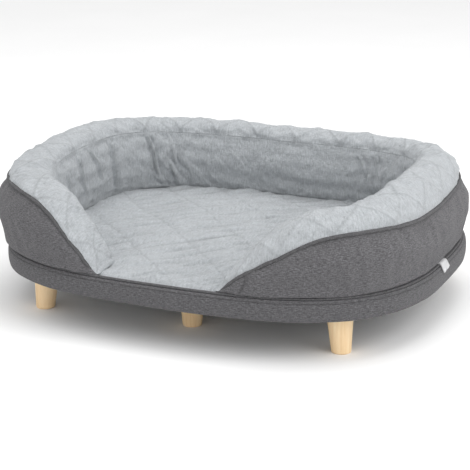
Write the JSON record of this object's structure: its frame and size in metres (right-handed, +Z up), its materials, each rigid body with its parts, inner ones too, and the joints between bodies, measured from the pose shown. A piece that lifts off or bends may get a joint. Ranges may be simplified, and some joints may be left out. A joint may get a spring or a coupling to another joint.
{
  "type": "raised dog bed",
  "caption": "Oval dog bed on tapered wooden legs: fabric-covered frame holding a lift-out nest with a quilted pad and a C-shaped padded bolster, low at the front.",
  "frame": {"origin": "centre of the overall box at floor level, under the legs", "axes": "+Z up, +X along the length, the low entrance faces -Y"},
  "size_m": [0.969, 0.818, 0.312],
  "materials": {
    "dark_cloth": "matt melange weave",
    "dark_welt": "matt weave over cord",
    "plush": "short soft pile",
    "black_cloth": "matt non-woven",
    "foam": "matt open-cell foam",
    "fibre": "soft polyester fibre",
    "plywood": "raw plywood",
    "beech": "clear satin lacquer",
    "steel": "zinc plated",
    "ribbon": "satin ribbon"
  },
  "bodies": {
    "frame": {"deck_board": "plywood", "rim_hoop": "plywood", "tray_liner": "black_cloth", "dust_cover": "black_cloth", "frame_band_cover": "dark_cloth", "frame_piping": "dark_welt", "leg_front_left": "beech", "leg_front_centre": "beech", "leg_front_right": "beech", "leg_back_left": "beech", "leg_back_centre": "beech", "leg_back_right": "beech", "leg_plate_front_left": "steel", "leg_plate_front_centre": "steel", "leg_plate_front_right": "steel", "leg_plate_back_left": "steel", "leg_plate_back_centre": "steel", "leg_plate_back_right": "steel", "leg_bolt_front_left": "steel", "leg_bolt_front_centre": "steel", "leg_bolt_front_right": "steel", "leg_bolt_back_left": "steel", "leg_bolt_back_centre": "steel", "leg_bolt_back_right": "steel"},
    "nest": {"pad_base_cloth": "black_cloth", "pad_foam": "foam", "pad_quilted_top": "plush", "bolster_base_cloth": "black_cloth", "bolster_filling": "fibre", "bolster_outer_cover": "dark_cloth", "bolster_top_cover": "plush", "bolster_inner_cover": "plush", "bolster_piping": "dark_welt", "side_tag": "ribbon"}
  },
  "joints": [
    {"name": "nest_lift", "type": "slide", "parent": "frame", "child": "nest", "axis": [0, 0, 1], "range_m": [0, 0.25]}
  ]
}
